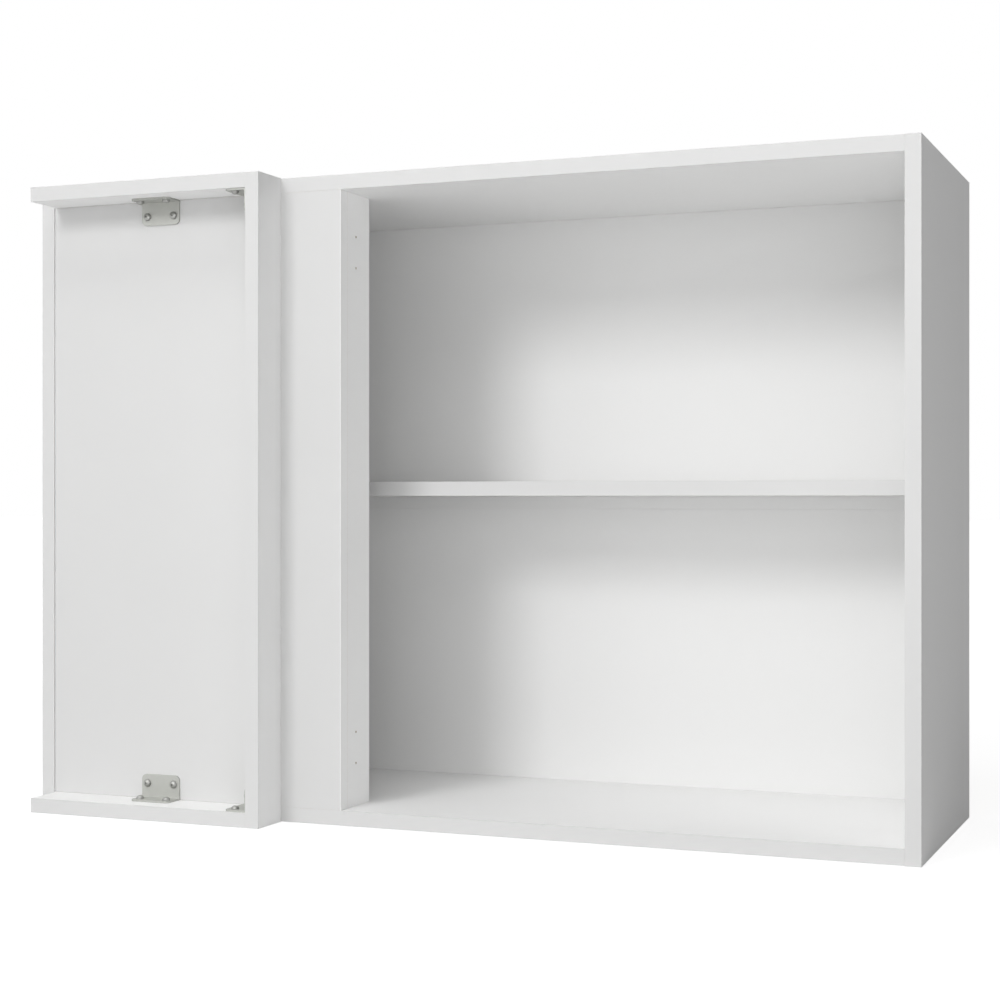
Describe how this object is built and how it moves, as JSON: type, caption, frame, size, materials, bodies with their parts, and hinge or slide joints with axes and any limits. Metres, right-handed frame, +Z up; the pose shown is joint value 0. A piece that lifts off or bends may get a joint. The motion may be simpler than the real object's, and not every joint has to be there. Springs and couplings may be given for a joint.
{
  "type": "corner wall cabinet",
  "caption": "Open blind-corner kitchen wall cabinet in white board, with a loose shelf, a filler box on angle brackets at its blind end, and adjustable rear hangers.",
  "frame": {"origin": "middle of the cabinet's footprint, at the level of the side panels' lower ends", "axes": "+X to the right seen from the open front, +Y towards the wall, +Z up; the blind end with the filler box is at -X"},
  "size_m": [1, 0.3604, 0.7],
  "materials": {
    "melamine_board": "white melamine-faced board with white edging, satin",
    "hardboard_back": "white lacquered hardboard, satin",
    "joint_strip": "white extruded plastic",
    "bracket_steel": "zinc-plated pressed steel",
    "screw_steel": "zinc-plated steel",
    "pin_steel": "nickel-plated steel",
    "cam_zinc": "bare die-cast zinc",
    "dowel_beech": "bare beech",
    "hanger_plastic": "white moulded plastic",
    "hanger_zinc": "bare die-cast zinc",
    "hanger_steel": "zinc-plated steel"
  },
  "bodies": {
    "cabinet": {"left_side_panel": "melamine_board", "right_side_panel": "melamine_board", "top_panel": "melamine_board", "bottom_panel": "melamine_board", "back_panel_upper": "hardboard_back", "back_panel_lower": "hardboard_back", "back_joint_strip": "joint_strip", "shelf_pin_left_front": "pin_steel", "shelf_pin_left_rear": "pin_steel", "shelf_pin_right_front": "pin_steel", "shelf_pin_right_rear": "pin_steel", "blind_panel": "melamine_board", "hinge_post": "melamine_board", "blind_panel_dowel_top": "dowel_beech", "blind_panel_dowel_bottom": "dowel_beech", "hinge_post_dowel_top": "dowel_beech", "hinge_post_dowel_bottom": "dowel_beech", "filler_top_board": "melamine_board", "filler_bottom_board": "melamine_board", "filler_return_board": "melamine_board", "filler_bracket_top_mid": "bracket_steel", "filler_bracket_bottom_mid": "bracket_steel", "filler_bracket_top_end": "bracket_steel", "filler_bracket_bottom_end": "bracket_steel", "bracket_screw_top_mid_1": "screw_steel", "bracket_screw_top_mid_2": "screw_steel", "bracket_screw_top_mid_3": "screw_steel", "bracket_screw_top_mid_4": "screw_steel", "bracket_screw_bottom_mid_1": "screw_steel", "bracket_screw_bottom_mid_2": "screw_steel", "bracket_screw_bottom_mid_3": "screw_steel", "bracket_screw_bottom_mid_4": "screw_steel", "bracket_screw_top_end_1": "screw_steel", "bracket_screw_top_end_2": "screw_steel", "bracket_screw_top_end_3": "screw_steel", "bracket_screw_top_end_4": "screw_steel", "bracket_screw_bottom_end_1": "screw_steel", "bracket_screw_bottom_end_2": "screw_steel", "bracket_screw_bottom_end_3": "screw_steel", "bracket_screw_bottom_end_4": "screw_steel", "cam_fitting_top_1": "cam_zinc", "cam_fitting_top_2": "cam_zinc", "cam_fitting_top_3": "cam_zinc", "cam_fitting_top_4": "cam_zinc", "cam_fitting_bottom_1": "cam_zinc", "cam_fitting_bottom_2": "cam_zinc", "cam_fitting_bottom_3": "cam_zinc", "cam_fitting_bottom_4": "cam_zinc", "hanger_housing_left": "hanger_plastic", "hanger_housing_right": "hanger_plastic"},
    "shelf": {"shelf": "melamine_board"},
    "left_hanger_carriage": {"hanger_carriage_left": "hanger_zinc"},
    "left_hanger_hook": {"hanger_hook_left": "hanger_steel"},
    "left_lift_screw": {"hanger_lift_screw_left": "hanger_steel"},
    "left_depth_screw": {"hanger_depth_screw_left": "hanger_steel"},
    "right_hanger_carriage": {"hanger_carriage_right": "hanger_zinc"},
    "right_hanger_hook": {"hanger_hook_right": "hanger_steel"},
    "right_lift_screw": {"hanger_lift_screw_right": "hanger_steel"},
    "right_depth_screw": {"hanger_depth_screw_right": "hanger_steel"}
  },
  "joints": [
    {"name": "shelf_lift", "type": "slide", "parent": "cabinet", "child": "shelf", "axis": [0, 0, 1], "range_m": [0, 0.24]},
    {"name": "left_hanger_height", "type": "slide", "parent": "cabinet", "child": "left_hanger_carriage", "axis": [0, 0, 1], "range_m": [-0.006, 0.006]},
    {"name": "left_hanger_reach", "type": "slide", "parent": "left_hanger_carriage", "child": "left_hanger_hook", "axis": [0, 1, 0], "range_m": [0, 0.012]},
    {"name": "left_lift_screw_turn", "type": "hinge", "parent": "cabinet", "child": "left_lift_screw", "pos_m": [-0.4732, 0.15835, 0.6242], "axis": [0, 0, 1], "range_deg": [-1080, 1080]},
    {"name": "left_depth_screw_turn", "type": "hinge", "parent": "left_hanger_carriage", "child": "left_depth_screw", "pos_m": [-0.4732, 0.13235, 0.6515], "axis": [0, 1, 0], "range_deg": [-2160, 0]},
    {"name": "right_hanger_height", "type": "slide", "parent": "cabinet", "child": "right_hanger_carriage", "axis": [0, 0, 1], "range_m": [-0.006, 0.006]},
    {"name": "right_hanger_reach", "type": "slide", "parent": "right_hanger_carriage", "child": "right_hanger_hook", "axis": [0, 1, 0], "range_m": [0, 0.012]},
    {"name": "right_lift_screw_turn", "type": "hinge", "parent": "cabinet", "child": "right_lift_screw", "pos_m": [0.4732, 0.15835, 0.6242], "axis": [0, 0, 1], "range_deg": [-1080, 1080]},
    {"name": "right_depth_screw_turn", "type": "hinge", "parent": "right_hanger_carriage", "child": "right_depth_screw", "pos_m": [0.4732, 0.13235, 0.6515], "axis": [0, 1, 0], "range_deg": [-2160, 0]}
  ],
  "couplings": [
    {"joint": "left_lift_screw_turn", "follows": "left_hanger_height", "rad_per_m": -3141.6},
    {"joint": "left_depth_screw_turn", "follows": "left_hanger_reach", "rad_per_m": -3141.6},
    {"joint": "right_lift_screw_turn", "follows": "right_hanger_height", "rad_per_m": -3141.6},
    {"joint": "right_depth_screw_turn", "follows": "right_hanger_reach", "rad_per_m": -3141.6}
  ]
}
